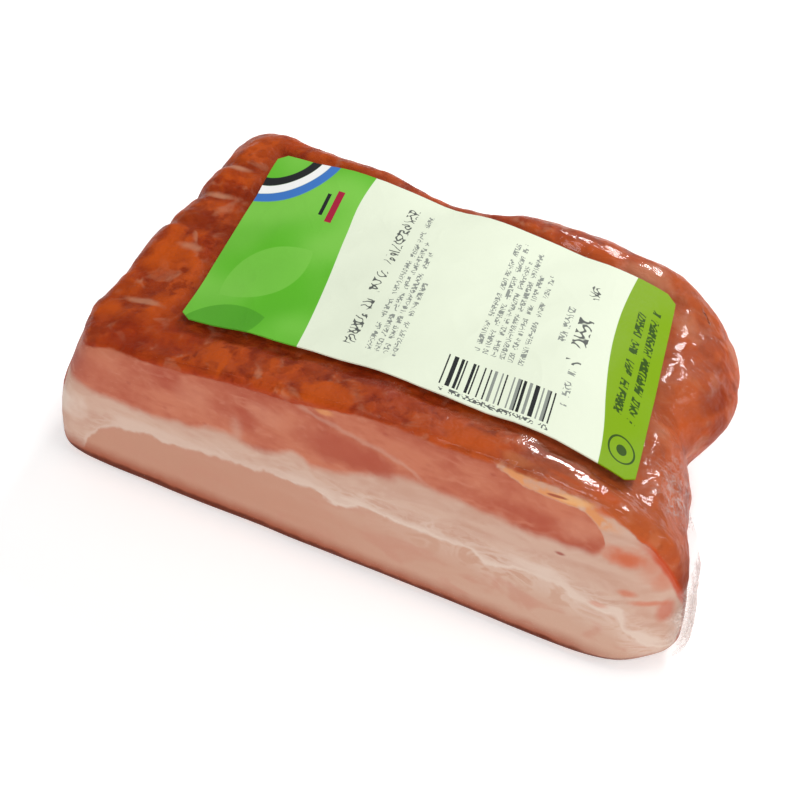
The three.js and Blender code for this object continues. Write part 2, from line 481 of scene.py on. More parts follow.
strataSettings = {
    # Heights of the layers' borders along the cut face, as (x, z).
    "leanBottom": [
        (-80, 27), (-70, 25.2), (-52, 24.4), (-41, 25.8), (-30, 27.8), (-21, 27.0), (-12, 29.8), (-8, 28.0),
        (-1, 29.7), (9, 33.6), (17, 35.4), (33, 34.4), (50, 32.5), (58, 32.4), (61, 35.0), (62.5, 42.0),
    ],
    "leanTop": [
        (-80, 50), (30, 50), (36.5, 47.7), (41, 46.4), (47, 44.9), (51, 44.7), (55, 44.0), (57.5, 42.7),
        (60.5, 39.8), (61.5, 36.5), (63, 30),
    ],
    "fatBottom": [
        (-80, 2), (-72, 4), (-69.5, 8), (-67, 12), (-63.7, 15), (-54, 18.2), (-50, 18.3), (-38, 19.1),
        (-24.5, 20.7), (-16, 21.7), (-9, 21.7), (-1, 20.2), (5.5, 22.0), (22, 22.0), (31, 21.8), (37, 20.2),
        (45, 21.7), (53, 21.0), (58, 18.6), (65, 18.7), (69, 14.3), (75.5, 9.3), (80, 7.0),
    ],
    "crustEdge": [
        (-80, 33), (-71.5, 35.6), (-60.5, 39), (-44.7, 40.6), (-27.5, 43.4), (-12.3, 44.8), (-0.2, 47.4),
        (10, 48.3), (26.4, 47.9), (36, 48.2), (40.7, 47.7), (46.7, 46.9), (52.4, 46.0), (58.5, 44.9),
        (62.5, 43.4), (68.6, 39.8), (73.5, 34.4), (77.4, 26.6), (79.4, 18.8), (80, 8),
    ],
    "seam": [(-80, 44), (-14, 45), (-12, 44.2), (-0.7, 42.2), (11.8, 39.7), (18.2, 36.8), (22, 34)],
    "reach": 80.0,
    "height": 50.0,
}


def curveThrough(net, share, places, handles):
    # A curve through places from 0 to 1, read at the share given.
    node = net.put("ShaderNodeFloatCurve", {"Value": share})
    curve = node.mapping.curves[0]
    for index, place in enumerate(places):
        if index < 2:
            curve.points[index].location = place
        else:
            curve.points.new(*place)
    for point in curve.points:
        point.handle_type = handles
    node.mapping.update()
    return node.outputs[0]


def borderHeight(net, along, border):
    # The height in mm of a layer's border at each place along the piece.
    reach = strataSettings["reach"]
    height = strataSettings["height"]
    share = net.timesPlus(along, 0.5 / reach, 0.5)
    places = [((x + reach) / (2 * reach), z / height) for x, z in strataSettings[border]]
    return net.times(curveThrough(net, share, places, "AUTO_CLAMPED"), height)


meatColours = colourTable(
    lean=(191, 114, 87),
    leanPale=(202, 134, 108),
    leanDeep=(168, 80, 59),
    pore=(150, 60, 50),
    fat=(199, 162, 143),
    fatWarm=(192, 150, 130),
    fatWhite=(216, 194, 179),
    lowFatLeft=(189, 138, 115),
    lowFatRight=(197, 158, 137),
    lowFatPink=(190, 132, 112),
    smokedFat=(152, 72, 44),
    rindEdge=(96, 36, 12),
    rind=(146, 82, 46),
    rindDark=(112, 56, 30),
    crust=(170, 60, 20),
    crustLight=(184, 78, 32),
    # the dark crust tone, also used as painted shade in the hollows, beside the label and on the right lobe
    crustDark=(127, 37, 9),
    crustOrange=(197, 82, 18),
    crustPale=(200, 136, 104),
    crustRight=(190, 96, 50),
    crustEdge=(150, 42, 12),
    spike=(188, 62, 16),
    veil=(196, 96, 60),
    yellowFat=(212, 142, 92),
    yellowPale=(226, 170, 112),
)

# Patches that show in the photo: colour, place and half size in mm, share and softness.
crustPatches = [
    ("crustOrange", (-67, -9, 40), (5, 9, 9), 0.75, 0.7),
    ("crustOrange", (-70, -29, 38), (7, 4, 6), 0.5, 0.7),
    ("crustOrange", (-62, 34, 41), (6, 4, 6), 0.2, 0.7),
    ("crustOrange", (-6.5, -37, 47), (7, 5, 4), 0.95, 0.25),
    ("crustOrange", (-33.6, -37, 44), (1.2, 5, 6), 0.9, 0.7),
    ("crustOrange", (27, -35, 48.5), (13, 4.5, 4), 1.0, 0.7),
    ("crustOrange", (56, 26, 41), (7, 8, 6), 0.5, 0.7),
    ("crustOrange", (64, 4, 32), (4, 4, 7), 0.7, 0.7),
    ("crustOrange", (28, 34, 46), (16, 5, 7), 0.55, 0.7),
    ("crustPale", (-65, 24.5, 42), (5, 1.6, 4), 0.8, 0.7),
    ("crustPale", (-66, 15.6, 41), (7, 1.3, 4), 0.85, 0.7),
    ("crustPale", (-62, -3.4, 41), (5, 1.8, 4), 0.6, 0.7),
    ("crustPale", (-63, -24, 40), (8, 1.5, 4), 0.7, 0.7),
    ("crustPale", (42, 34, 44), (11, 6, 6), 0.6, 0.7),
    ("crustPale", (54, 29, 40), (7, 6, 6), 0.45, 0.7),
    ("crustPale", (61, -3, 39), (4, 7, 4), 0.4, 0.7),
    # painted shade on the right flank of the back lobe, these two
    ("crustDark", (66, 14, 33), (4, 8, 6), 0.55, 0.7),
    ("crustDark", (70, 10, 25), (6, 10, 9), 0.65, 0.7),
    ("crustOrange", (58, -33.5, 45.2), (5, 2.5, 2.5), 0.9, 0.7),
    ("yellowFat", (38.5, -35.5, 48.3), (6, 2, 2), 0.3, 0.7),
    ("crustDark", (-66, 6.5, 40), (6, 4, 5), 0.6, 0.7),
    ("crustDark", (-69, -20.4, 39), (4, 3, 5), 0.35, 0.7),
    ("crustDark", (-58, -38.5, 40), (8, 3, 4), 0.3, 0.7),
    # painted shadow of the label along its front edge, these two
    ("crustDark", (-25, -29, 46), (9, 3, 4), 0.5, 0.7),
    ("crustDark", (-2, -30, 48), (9, 2.2, 3), 0.6, 0.7),
    ("crustOrange", (50, -34.5, 46.8), (7, 0.9, 3), 0.8, 0.7),
]
cutPatches = [
    ("leanDeep", (-2, -41, 36), (15, 9, 6), 0.85, 0.7),
    ("leanDeep", (8, -41, 35.5), (6, 9, 4.5), 0.6, 0.7),
    ("leanDeep", (-67, -41, 31), (8, 9, 5), 0.35, 0.7),
    ("leanPale", (-40, -41, 35), (7, 9, 6), 0.3, 0.7),
    ("leanPale", (-20, -41, 38), (7, 9, 4), 0.4, 0.7),
    ("leanPale", (55, -39, 38), (7, 9, 5), 0.5, 0.7),
    ("fat", (-28, -42, 30), (2.6, 9, 6), 0.4, 1.0),
    ("yellowFat", (-6, -40.3, 45.6), (3.5, 5, 1.3), 0.8, 0.7),
    ("yellowPale", (52, -37, 44.8), (6, 5, 1.3), 0.75, 0.6),
    ("crustOrange", (60, -36, 44.2), (4.5, 3, 1.7), 0.95, 0.7),
    ("crustOrange", (53, -35.4, 46), (4, 1.6, 1.2), 0.7, 0.7),
    ("pore", (49, -38, 44.8), (3, 5, 0.5), 0.85, 0.5),
    ("pore", (52, -41, 29.8), (1.4, 5, 0.6), 0.75, 0.7),
    ("veil", (66, -38, 34.5), (6, 9, 4), 0.9, 0.8),
    ("spike", (76, -37, 20), (2.5, 7, 5), 0.5, 0.7),
    ("veil", (72, -38, 33), (5, 9, 5), 0.4, 0.9),
    ("veil", (75, -37, 29), (3, 9, 5), 0.5, 0.9),
    ("veil", (67.9, -41, 25), (3, 6, 1.5), 0.6, 0.7),
    ("veil", (73, -40, 22.5), (6, 7, 1.3), 0.6, 0.7),
    ("veil", (62, -42, 19.5), (3, 6, 1.2), 0.4, 0.7),
    ("fatWhite", (-75, -39, 17), (10, 9, 6.5), 1.0, 0.8),
]


def layPatches(net, point, colour, patches):
    speckle = net.speckle(point, 0.9)
    for name, centre, half, most, softness in patches:
        patch = {"centre": centre, "half": half, "softness": softness, "most": most}
        mask = net.group(softPatch, point=point, speckle=speckle, **patch)["mask"]
        colour = net.blend(mask, colour, meatColours[name])
    return colour


def leanColour(net, point):
    blotch = net.clouds(net.stretched(point, 1, 1, 1.5), 18, detail=4, roughness=0.6)
    colour = net.blend(net.rise(blotch, 0.36, 0.7), meatColours["lean"], meatColours["leanDeep"])
    fibres = net.clouds(net.stretched(point, 0.45, 1, 1.2), 2.6, detail=4, roughness=0.6, warp=0.5)
    colour = net.blend(net.rise(fibres, 0.5, 0.7, 0.0, 0.3), colour, meatColours["leanDeep"])
    colour = net.blend(net.rise(fibres, 0.48, 0.3, 0.0, 0.35), colour, meatColours["leanPale"])
    inputs = {"Vector": net.stretched(point, 0.7, 1, 1), "Scale": 0.28}
    cells = net.put("ShaderNodeTexVoronoi", inputs).outputs
    dot = net.rise(cells["Distance"], 0.2, 0.08)
    chance = net.put("ShaderNodeSeparateColor", {0: cells["Color"]}).outputs[0]
    share = net.times(dot, net.rise(chance, 0.7, 0.8, 0.0, 0.35))
    return net.blend(share, colour, meatColours["pore"])


def veins(net, point, size, width):
    # Thin wavy lines, where a warped cloud passes its middle value.
    cloud = net.clouds(point, size, detail=3, warp=1.6)
    off = net.calc("ABSOLUTE", net.minus(cloud, 0.5))
    return net.rise(off, width, 0.1 * width)


def fatColour(net, point, along, above):
    # above is the height over the layer's lower border, where the fat is whitest.
    drift = net.clouds(net.stretched(point, 0.5, 1, 1.5), 9, detail=4, warp=0.8)
    colour = net.blend(net.rise(drift, 0.38, 0.6), meatColours["fat"], meatColours["fatWarm"])
    low = net.rise(above, 8.5, 1.0)
    body = net.timesPlus(net.minus(drift, 0.5), 9.0, above)
    body = net.rise(body, 4.5, 1.0, 0.0, 0.8)
    broad = veins(net, net.stretched(point, 0.45, 1, 1.1), 6, 0.13)
    broad = net.times(broad, net.timesPlus(low, 0.5, 0.08))
    fine = veins(net, net.stretched(point, 0.6, 1, 1.3), 4, 0.1)
    fine = net.times(fine, net.timesPlus(low, 0.25, 0.05))
    rim = net.rise(above, 1.5, 0.4, 0.0, 0.9)
    white = net.calc("MAXIMUM", net.calc("MAXIMUM", broad, fine), net.calc("MAXIMUM", body, rim))
    white = net.times(white, net.rise(along, -25, 5, 0.6, 1.0))
    return net.blend(white, colour, meatColours["fatWhite"])


def lowFatColour(net, point, along, under):
    # under is how far below the white fat the place lies.
    band = net.clouds(net.stretched(point, 0.25, 1, 1.4), 8, detail=3, warp=0.4)
    place = net.timesPlus(net.minus(band, 0.5), 75.0, along)
    colour = net.blend(net.rise(place, -50, 70), meatColours["lowFatLeft"], meatColours["lowFatRight"])
    cloud = net.clouds(net.stretched(point, 0.5, 1, 1), 6, detail=4, warp=0.8)
    deeper = net.times(net.rise(cloud, 0.5, 0.68), net.rise(along, -60, 60, 0.25, 0.6))
    colour = net.blend(deeper, colour, meatColours["lowFatPink"])
    streaks = veins(net, net.stretched(point, 0.6, 1, 1.1), 7, 0.13)
    streaks = net.times(streaks, net.rise(along, -10, 60, 0.0, 0.5), net.rise(under, 8, 1))
    return net.blend(streaks, colour, meatColours["fatWhite"])


def strataColour(net, point, along, height):
    # The layers from the top down: lean, white fat, and the firm pinkish fat on the rind.
    wobble = net.minus(net.clouds(point, 5, detail=3), 0.5)
    level = net.timesPlus(wobble, 3.0, height)
    scallop = net.put("ShaderNodeTexVoronoi", {"Vector": point, "Scale": 0.2}, feature="SMOOTH_F1")
    scallop = net.minus(scallop.outputs["Distance"], 0.45)
    crisp = net.timesPlus(wobble, 1.2, height)
    crisp = net.timesPlus(scallop, -1.6, crisp)
    crisp = net.timesPlus(net.clouds(point, 1.8, detail=2, warp=0.8), 1.2, crisp)
    overLean = net.minus(level, borderHeight(net, along, "leanBottom"))
    underTop = net.minus(borderHeight(net, along, "leanTop"), crisp)
    overFat = net.minus(crisp, borderHeight(net, along, "fatBottom"))
    lean = net.times(net.rise(overLean, -1.4, 1.6), net.rise(underTop, -0.3, 0.5))
    seam = net.minus(level, borderHeight(net, along, "seam"))
    seamShare = net.rise(net.calc("ABSOLUTE", seam), 1.2, 0.1, 0.0, 0.3)
    seamShare = net.times(seamShare, net.rise(along, -14, -11), net.rise(along, 21, 17))
    red = net.blend(seamShare, leanColour(net, point), meatColours["fat"])
    fat = fatColour(net, point, along, overFat)
    frayed = net.timesPlus(wobble, 2.0, overFat)
    below = net.times(overFat, -1.0)
    colour = net.blend(net.rise(frayed, -0.8, 0.5), lowFatColour(net, point, along, below), fat)
    rim = net.times(
        net.rise(underTop, 0.5, -0.5),
        net.rise(along, 66, 60),
        net.rise(along, 32, 38),
        net.rise(height, 39.5, 41.5),
        net.rise(net.clouds(point, 3.5, detail=3), 0.36, 0.56, 0.2, 1.0),
    )
    colour = net.blend(rim, colour, meatColours["yellowFat"])
    colour = net.blend(lean, colour, red)
    return layPatches(net, point, colour, cutPatches)


def crustColour(net, point, along, level, relief):
    # Smoked crust: soft blotches, and painted shade that darkens its hollows.
    shifted = net.vector("ADD", point, (40, 25, 10))
    broad = net.clouds(point, 13, detail=3, warp=0.4)
    colour = net.blend(net.rise(broad, 0.34, 0.66), meatColours["crust"], meatColours["crustLight"])
    tone = net.group(flakes, point=point, scale=0.17, warp=9.0)["tone"]
    mottle = net.clouds(point, 3.4, detail=3, warp=0.3)
    finer = net.group(flakes, point=shifted, scale=0.36, warp=3.0)["tone"]
    warmer = net.clouds(shifted, 12, detail=4, warp=0.5)
    paler = net.clouds(net.vector("ADD", point, (-15, 60, 5)), 6, detail=4, warp=0.8)
    blotches = [  # a cloud, the values between which it shows, its greatest share and its colour
        (tone, 0.42, 0.85, 0.5, "crustOrange"),
        (tone, 0.5, 0.1, 0.5, "crustDark"),
        (mottle, 0.52, 0.68, 0.7, "crustDark"),
        (mottle, 0.48, 0.34, 0.6, "crustOrange"),
        (finer, 0.5, 0.15, 0.35, "crustDark"),
        (finer, 0.6, 0.9, 0.3, "crustLight"),
        (warmer, 0.5, 0.66, 0.6, "crustOrange"),
        (paler, 0.54, 0.72, 0.5, "crustPale"),
        # painted shade: the deeper the hollow in the relief, the darker the crust
        (relief, 0.1, -0.6, 0.4, "crustDark"),
    ]
    for value, low, high, most, name in blotches:
        colour = net.blend(net.rise(value, low, high, 0.0, most), colour, meatColours[name])
    right = net.times(net.rise(along, 15, 60, 0.0, 0.6), net.rise(level, 26, 42, 0.2, 1.0))
    colour = net.blend(right, colour, meatColours["crustRight"])
    height = net.timesPlus(broad, 1.0, net.times(mottle, -1.0))
    return layPatches(net, point, colour, crustPatches), height


def makeMeatMaterial():
    material, net, surface = newMaterial("smokedBelly")
    point = objectPoint(net)
    place = net.parts(point)
    facing = net.parts(net.stored("facing", "Vector"))
    strata = strataColour(net, point, place[0], place[2])
    relief = net.stored("relief", "Fac")
    crust, flaky = crustColour(net, point, place[0], place[2], relief)

    # The uncut walls show the same layers under the smoke.
    smoke = net.rise(facing[2], 0.55, 0.1, 0.0, 0.3)
    smoke = net.times(smoke, net.rise(place[0], 40, 0))
    skin = net.blend(smoke, crust, strata)
    edgeNoise = net.minus(net.clouds(point, 4, detail=3), 0.5)
    under = net.minus(borderHeight(net, place[0], "crustEdge"), place[2])
    under = net.timesPlus(edgeNoise, 1.2, under)
    aboveCut = net.rise(under, -2.2, -0.5, 0.0, 0.5)
    aboveCut = net.times(aboveCut, net.rise(place[1], -24, -32), net.rise(place[0], 30, 0))
    skin = net.blend(aboveCut, skin, meatColours["crustEdge"])
    towards = net.timesPlus(edgeNoise, -0.3, net.times(facing[1], -1.0))
    leftTurn = net.rise(place[0], -78, -72, 0.45, 0.0)
    facingCut = net.rise(net.minus(towards, leftTurn), 0.12, 0.24)
    facingCut = net.times(facingCut, net.rise(place[1], -18, -26))
    cut = net.times(net.rise(under, -0.35, 0.35), facingCut)

    # Smoke has browned the lowest fat and the rind.
    level = net.timesPlus(edgeNoise, 1.5, place[2])
    fade = net.rise(place[0], 50, 74, 1.0, 0.3)
    low = net.times(net.rise(level, 8.0, 2.8, 0.0, 0.9), fade)
    cutFace = net.blend(low, strata, meatColours["smokedFat"])
    lowest = net.times(net.rise(level, 3.8, 2.5), fade)
    cutFace = net.blend(lowest, cutFace, meatColours["rindEdge"])
    colour = net.blend(cut, skin, cutFace)
    rimBand = net.times(net.rise(under, -1.5, -0.2), net.rise(under, 2.6, 0.8, 0.0, 0.85))
    rimBand = net.times(rimBand, net.rise(place[0], 66, 74), facingCut)
    colour = net.blend(rimBand, colour, meatColours["spike"])
    underside = net.timesPlus(edgeNoise, 0.15, facing[2])
    mottle = net.rise(net.clouds(point, 12, detail=4), 0.4, 0.6)
    rind = net.blend(mottle, meatColours["rind"], meatColours["rindDark"])
    edge = net.rise(underside, -0.12, -0.35)
    edge = net.times(edge, net.rise(place[0], 60, 76, 1.0, 0.3), net.rise(place[2], 9, 3))
    colour = net.blend(edge, colour, meatColours["rindEdge"])
    colour = net.blend(net.rise(underside, -0.6, -0.85), colour, rind)

    grain = net.clouds(net.stretched(point, 0.7, 1, 1), 2.2)
    height = net.timesPlus(grain, 0.5, flaky)
    height = net.times(height, net.rise(cut, 0.0, 1.0, 1.0, 0.0))
    normal = net.bump(height, meatSettings["bump"])
    roughness = net.rise(grain, 0.4, 0.9, 0.42, 0.6)
    inputs = {"Base Color": colour, "Roughness": roughness, "Normal": normal}
    inputs["Specular IOR Level"] = meatSettings["specular"]
    net.join(surface, net.put("ShaderNodeBsdfPrincipled", inputs).outputs[0])
    return material


meat = makeMeat(meatSettings)
meat.data.materials.append(makeMeatMaterial())
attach(meat, "root")
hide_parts("vacuum_packed_belly")
print("meat made:", len(meat.data.polygons), "faces")


# The film.
filmSettings = {
    "levels": 2,
    "pitShare": 0.5,
    "cornerLift": 0.9,
    "rightWrinkles": {"size": 7.0, "height": 0.5},
    "fineWrinkles": {"size": 3.0, "height": 0.2},
    # the film's whitish haze, toned greyish: partly its own haze, partly painted shade, greyest at the low
    # corner
    "mistAndShade": screenColour(230, 222, 216),
    "cornerMistAndShade": screenColour(216, 196, 184),
    "mistRoughness": 0.3,
    # how whitish the pleat and crossed crease lines are: partly film haze, partly painted glints
    "pleatMistAndGlint": 0.04,
    "crossedMistAndGlint": 0.45,
    "cornerShare": 0.42,
    "index": 1.46,
    "glossLimit": 0.14,
    "glossRoughness": 0.11,
    "tautGloss": 1.5,
    "tautHeight": -0.75,
    "bump": 0.5,
}
filmPatches = {  # where the film is whitish, and where it is drawn flat
    "corner": {"centre": (80, -30, 15), "half": (5, 12, 18)},
    "lobe": {"centre": (70, -18, 31), "half": (10, 16, 15)},
    "taut": {"centre": (47, -31.5, 47.5), "half": (14, 7, 9)},
}
filmTaut = [
    {"centre": (47, -31.5, 47.5), "half": (9, 5, 9)},
    {"centre": (57, -32, 45), "half": (4, 3, 9)},
]


def wrinkleWeight(place, normal):
    # Film is slack at the right end, most at its low front corner.
    end = smoothStep(place.x, 52, 74) * smoothStep(place.z, 44, 30)
    corner = smoothStep(place.x, 70, 77) * smoothStep(place.y, -20, -30)
    return 0.6 * end + 0.4 * corner


def tautWeight(place, normal):
    # The film follows the crust, but it spans the hollows at a few taut spots.
    shares = [
        math.exp(-sum(((place[axis] - spot["centre"][axis]) / spot["half"][axis]) ** 2 for axis in range(3)))
        for spot in filmTaut
    ]
    return crustWeight(place, normal) * (1 - 0.9 * max(shares))


def makeFilm(settings):
    piece = copySolid("vacuum_packed_belly", "clearFilm")
    subdivide(piece, settings["levels"])
    keepFacing(piece)
    paintWeights(piece, "wrinkles", wrinkleWeight)
    raiseRelief(piece, meatSettings, tautWeight, settings["pitShare"], settings["cornerLift"])
    folds = reliefTexture("filmFolds", "MUSGRAVE", settings["rightWrinkles"]["size"])
    folds.musgrave_type = "RIDGED_MULTIFRACTAL"
    ticks = reliefTexture("filmTicks", "VORONOI", settings["fineWrinkles"]["size"])
    pushSurface(piece, settings["rightWrinkles"]["height"], "wrinkles", folds)
    pushSurface(piece, settings["fineWrinkles"]["height"], "wrinkles", ticks)
    pushSurface(piece, filmGap, "")
    keepAbove(piece, 0.0)
    return piece


def makeFilmMaterial(settings):
    material, net, surface = newMaterial("clearFilm")
    point = objectPoint(net)
    place = net.parts(point)
    rightEnd = net.rise(place[0], 35, 70)
    coarse = net.group(crumple, point=point, scale=0.07, sharpness=5.0)

    # Pleats that run out from the notch between the two lobes.
    offset = net.parts(net.vector("SUBTRACT", point, (0, 6, 12)))
    angle = net.calc("ARCTAN2", offset[1], offset[2])
    reach = net.vector("LENGTH", net.vector("SUBTRACT", point, (66, 6, 14)), output=1)
    turned = net.times(angle, 22.0)
    polar = net.put("ShaderNodeCombineXYZ", {0: turned, 1: reach}).outputs[0]
    pleats = net.group(crumple, point=net.stretched(polar, 1, 0.22, 1), scale=0.2, sharpness=6.0)
    ripple = net.group(fineGrain, point=point, scale=0.16)["height"]
    crease = net.timesPlus(pleats["height"], 0.7, coarse["height"])
    crease = net.times(crease, net.timesPlus(rightEnd, 0.5, 0.05))
    height = net.timesPlus(ripple, 0.8, crease)
    speckle = net.speckle(point, 0.8)
    taut = net.group(softPatch, point=point, speckle=speckle, softness=0.9, **filmPatches["taut"])["mask"]
    height = net.times(height, net.timesPlus(taut, settings["tautHeight"], 1.0))
    normal = net.bump(height, settings["bump"])
    gloss = net.put("ShaderNodeFresnel", {"IOR": settings["index"], "Normal": normal}).outputs[0]
    gloss = net.calc("MINIMUM", gloss, settings["glossLimit"])
    facing = net.parts(net.stored("facing", "Vector"))
    gloss = net.times(
        gloss,
        net.rise(facing[1], -0.55, -0.85, 1.0, 0.2),
        net.rise(facing[2], 0.6, 0.97, 0.1, 1.0),
        net.timesPlus(taut, settings["tautGloss"], 1.0),
        net.rise(place[0], -60, 45, 0.15, 1.0),
        net.rise(place[2], 1.5, 7.0, 0.1, 1.0),
    )
    inputs = {"Roughness": settings["glossRoughness"], "Normal": normal}
    mirror = net.put("ShaderNodeBsdfGlossy", inputs).outputs[0]
    clear = net.put("ShaderNodeBsdfTransparent").outputs[0]
    sheet = net.put("ShaderNodeMixShader", {0: gloss, 1: clear, 2: mirror}).outputs[0]

    # Whitish where the film is pleated or stands off the meat: the film's own haze, and along the crease
    # lines partly painted glints.
    lines = net.calc("MAXIMUM", net.times(coarse["lines"], 0.5), pleats["lines"])
    lines = net.times(lines, net.rise(reach, 45, 12, 0.0, settings["pleatMistAndGlint"]))
    around = {"point": point, "speckle": speckle}
    corner = net.group(softPatch, softness=0.6, **around, **filmPatches["corner"])["mask"]
    lobe = net.group(softPatch, softness=0.7, **around, **filmPatches["lobe"])["mask"]
    # crossed crease lines at the right end: partly whitened film, partly painted glints
    crossed = net.group(crumple, point=point, scale=0.26, sharpness=11.0)["lines"]
    crossed = net.times(crossed, net.calc("MAXIMUM", lobe, corner))
    hazeAndGlints = net.timesPlus(crossed, settings["crossedMistAndGlint"], lines)
    hazeAndGlints = net.timesPlus(corner, settings["cornerShare"], hazeAndGlints, clamp=True)
    # greyer haze at the low corner, partly painted shade
    mistAndShadeColour = net.blend(corner, settings["mistAndShade"], settings["cornerMistAndShade"])
    inputs = {"Base Color": mistAndShadeColour, "Roughness": settings["mistRoughness"], "Normal": normal}
    mistAndShade = net.put("ShaderNodeBsdfPrincipled", inputs).outputs[0]
    net.join(surface, net.put("ShaderNodeMixShader", {0: hazeAndGlints, 1: sheet, 2: mistAndShade}).outputs[0])
    return material


film = makeFilm(filmSettings)
film.data.materials.append(makeFilmMaterial(filmSettings))
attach(film, "root")
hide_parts("vacuum_packed_belly")
print("film made:", len(film.data.polygons), "faces")


# The label.
labelColours = colourTable(
    cream=(236, 244, 221),
    green=(94, 186, 38),
    greenLight=(128, 204, 76),
    greenDark=(76, 158, 36),
    lime=(131, 171, 0),
    limeInk=(52, 84, 10),
    white=(252, 252, 250),
    blue=(64, 122, 200),
    charcoal=(34, 36, 38),
    crimson=(170, 30, 60),
    ink=(92, 96, 92),
    paleInk=(144, 150, 142),
)


def makeLabel(settings):
    piece = copySolid("label", "paperLabel")
    bpy.ops.object.mode_set(mode="EDIT")
    bpy.ops.mesh.select_all(action="DESELECT")
    bpy.ops.mesh.edges_select_sharp(sharpness=math.radians(50))
    bpy.ops.transform.edge_crease(value=1.0)
    bpy.ops.object.mode_set(mode="OBJECT")
    subdivide(piece, settings["levels"])
    layer = piece.data.uv_layers.new(name="print")
    for loop in piece.data.loops:
        place = piece.data.vertices[loop.vertex_index].co / millimetre
        along, across = flatPlace(place.x, place.y, settings)
        layer.data[loop.index].uv = (along / settings["length"] + 0.5, across / settings["length"] + 0.5)
    pickOnly(piece)
    bpy.ops.object.shade_smooth_by_angle(angle=math.radians(50))
    return piece


def makeRowGroup():
    # A row of squiggles where the real thing has print, with gaps as between words.
    inputs = {"point": (0, 0, 0), "start": (0, 0, 0), "length": 20.0, "thickness": 1.2}
    inputs.update({"pitch": 1.0, "stroke": 0.12, "seed": 0.0})
    group, net, given, result = newGroup("printRow", inputs, ["mask"])
    offset = net.vector("SUBTRACT", given["point"], given["start"])
    offset = net.parts(offset)
    halfway = net.times(given["thickness"], 0.5)
    inside = net.calc("LESS_THAN", net.calc("ABSOLUTE", offset[0]), halfway)
    started = net.calc("GREATER_THAN", offset[1], 0.0)
    inside = net.times(inside, started, net.calc("LESS_THAN", offset[1], given["length"]))
    steps = net.calc("DIVIDE", offset[1], given["pitch"])
    gaps = net.calc("ADD", net.times(steps, 0.42), given["seed"])
    gaps = net.put("ShaderNodeTexNoise", {"W": gaps, "Scale": 1.0, "Detail": 0.0}, noise_dimensions="1D")
    inside = net.times(inside, net.rise(gaps.outputs["Fac"], 0.36, 0.4))
    sideways = net.times(net.calc("DIVIDE", offset[0], given["thickness"]), 1.5)
    place = {0: sideways, 1: net.times(steps, 1.4), 2: given["seed"]}
    place = net.put("ShaderNodeCombineXYZ", place).outputs[0]
    curls = net.put("ShaderNodeTexNoise", {"Vector": place, "Scale": 1.0, "Detail": 0.0}).outputs["Fac"]
    off = net.calc("ABSOLUTE", net.minus(curls, 0.5))
    soft = net.times(given["stroke"], 0.5)
    net.join(result["mask"], net.times(inside, net.rise(off, given["stroke"], soft)))
    return group


printRow = makeRowGroup()
seedStep = 37.0
# Each row: start, length, thickness, pitch, stroke, ink and the way it runs.
printRows = [
    ((-14.0, -23.5), 47, 2.8, 1.9, 0.075, "ink", "along"),
    ((-9.2, -23.5), 46, 1.3, 1.1, 0.12, "paleInk", "along"),
    ((-7.2, -23.5), 37, 1.3, 1.1, 0.12, "paleInk", "along"),
    ((-5.2, -23.5), 34, 1.3, 1.1, 0.12, "paleInk", "along"),
    ((-3.2, -23.5), 24, 1.3, 1.1, 0.12, "paleInk", "along"),
    ((14.0, -13.5), 37, 1.3, 1.0, 0.12, "paleInk", "along"),
    ((16.0, -13.5), 38, 1.3, 1.0, 0.12, "paleInk", "along"),
    ((18.0, -13.5), 33, 1.3, 1.0, 0.12, "paleInk", "along"),
    ((20.0, -13.5), 37, 1.3, 1.0, 0.12, "paleInk", "along"),
    ((22.0, -13.5), 30, 1.3, 1.0, 0.12, "paleInk", "along"),
    ((24.5, -13.5), 31, 1.3, 1.0, 0.12, "paleInk", "along"),
    ((31.5, -2), 12, 1.8, 1.3, 0.12, "paleInk", "along"),
    ((36.0, -19.5), 10, 1.8, 1.3, 0.12, "paleInk", "along"),
    ((35.6, -8), 16, 3.6, 3.0, 0.09, "ink", "along"),
    ((35.6, 15), 4.5, 2.6, 1.8, 0.08, "ink", "along"),
    ((47.6, -13), 31, 2.0, 1.3, 0.16, "limeInk", "along"),
    ((50.9, -13), 34, 2.0, 1.3, 0.16, "limeInk", "along"),
    ((-27.2, 9), 26, 1.3, 1.3, 0.12, "ink", "across"),
]
labelMotifs = {
    "leftEdge": [(-30, -24.6), (-20, -25.0), (-10, -25.6), (0, -26.4), (10, -27.4), (20, -27.8), (30, -27.0)],
    "rightEdge": [(-30, 46.4), (-20, 45.8), (-10, 44.2), (0, 43.0), (10, 42.6), (20, 43.2), (30, 44.4)],
    "leaves": [
        {"centres": ((-47, -4), (-35, -14)), "half": (15, 15), "ink": "greenLight"},
        {"centres": ((-48, -22), (-42, -34)), "half": (13, 13), "ink": "greenDark"},
    ],
    "arcCentre": (-56, 31),
    "arcs": [(19, 2.8, "blue"), (16.2, 2.6, "white"), (13.6, 2.6, "charcoal")],
    "bars": [
        {"centre": (-33.5, 16), "half": (0.9, 5), "ink": "crimson"},
        {"centre": (-36.2, 16), "half": (0.5, 3.4), "ink": "charcoal"},
    ],
    "ring": {"centre": (50.4, -21.4), "half": (3.2, 3.9), "width": 0.45, "dot": (1.2, 1.5)},
    "stripes": {"centre": (21.5, -21.6), "half": (13.0, 4.4), "perMillimetre": 2.9},
}


def ovalMask(net, point, centre, half):
    return net.group(softPatch, point=point, centre=(*centre, 0), half=(*half, 1), softness=0.02)["mask"]


def ringMask(net, point, centre, half, width):
    outer = ovalMask(net, point, centre, half)
    inner = ovalMask(net, point, centre, [side - width for side in half])
    return net.minus(outer, inner)


def blockMask(net, along, across, centre, half):
    # 1 inside an upright rectangle.
    masks = []
    for value, middle, reach in zip((along, across), centre, half):
        off = net.calc("ABSOLUTE", net.minus(value, middle))
        masks.append(net.calc("LESS_THAN", off, reach))
    return net.times(*masks)


